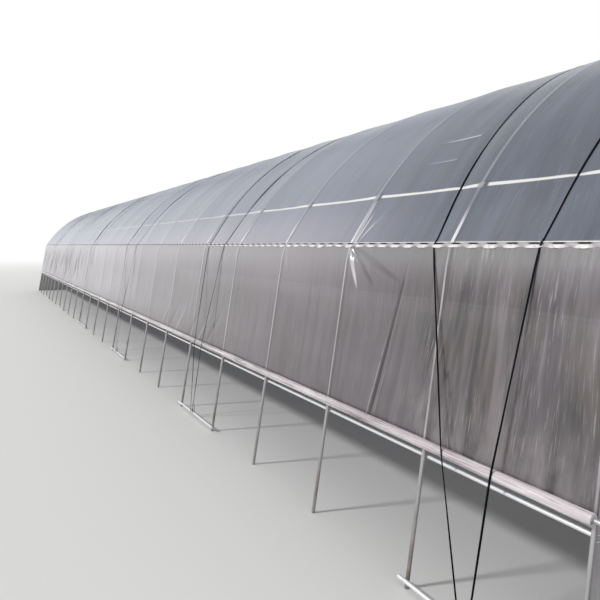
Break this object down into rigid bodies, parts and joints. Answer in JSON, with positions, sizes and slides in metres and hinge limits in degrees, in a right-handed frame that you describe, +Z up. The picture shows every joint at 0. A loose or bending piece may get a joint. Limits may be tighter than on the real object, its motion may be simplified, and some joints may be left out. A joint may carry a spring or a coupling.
{
  "type": "polytunnel greenhouse",
  "caption": "Walk-in greenhouse tunnel: bent steel hoops under clear film, with rolled-up side films, eaves film locks and straps over the roof.",
  "frame": {"origin": "on the ground, at the middle of the tunnel in both directions", "axes": "+X across the tunnel, +Y along it, +Z up"},
  "size_m": [6.4486, 24.3, 3.6389],
  "materials": {
    "galvanised_tube": "galvanised, dull bright",
    "galvanised_channel": "galvanised sheet",
    "spring_wire": "coated wire",
    "clear_film": "clear film, slightly hazed",
    "rolled_film": "many layers of film, milky",
    "black_strap": "flat woven tape, black"
  },
  "bodies": {
    "root": {"hoops_bay_1": "galvanised_tube", "hoops_bay_2": "galvanised_tube", "hoops_bay_3": "galvanised_tube", "hoops_bay_4": "galvanised_tube", "hoops_bay_5": "galvanised_tube", "hoops_bay_6": "galvanised_tube", "end_hoop": "galvanised_tube", "ridge_purlin": "galvanised_tube", "haunch_purlin_left": "galvanised_tube", "haunch_purlin_right": "galvanised_tube", "low_rail_left": "galvanised_tube", "low_rail_right": "galvanised_tube", "film_channel_left": "galvanised_channel", "film_channel_right": "galvanised_channel", "lock_wire_left": "spring_wire", "lock_wire_right": "spring_wire", "roof_film": "clear_film", "side_film_left": "clear_film", "side_film_right": "clear_film", "hem_roll_left": "rolled_film", "hem_roll_right": "rolled_film", "hem_pipe_left": "galvanised_tube", "hem_pipe_right": "galvanised_tube", "hold_down_straps_bay_1": "black_strap", "hold_down_straps_bay_2": "black_strap", "hold_down_straps_bay_3": "black_strap", "hold_down_straps_bay_4": "black_strap", "hold_down_straps_bay_5": "black_strap", "hold_down_straps_bay_6": "black_strap", "anchor_bars_left": "galvanised_tube", "anchor_bars_right": "galvanised_tube", "gable_film_front_left": "clear_film", "gable_film_front_right": "clear_film", "gable_film_front_over_door": "clear_film", "door_posts_front": "galvanised_tube", "door_head_front": "galvanised_tube", "gable_rails_front": "galvanised_tube", "gable_film_back_left": "clear_film", "gable_film_back_right": "clear_film", "gable_film_back_over_door": "clear_film", "door_posts_back": "galvanised_tube", "door_head_back": "galvanised_tube", "gable_rails_back": "galvanised_tube"}
  },
  "joints": []
}
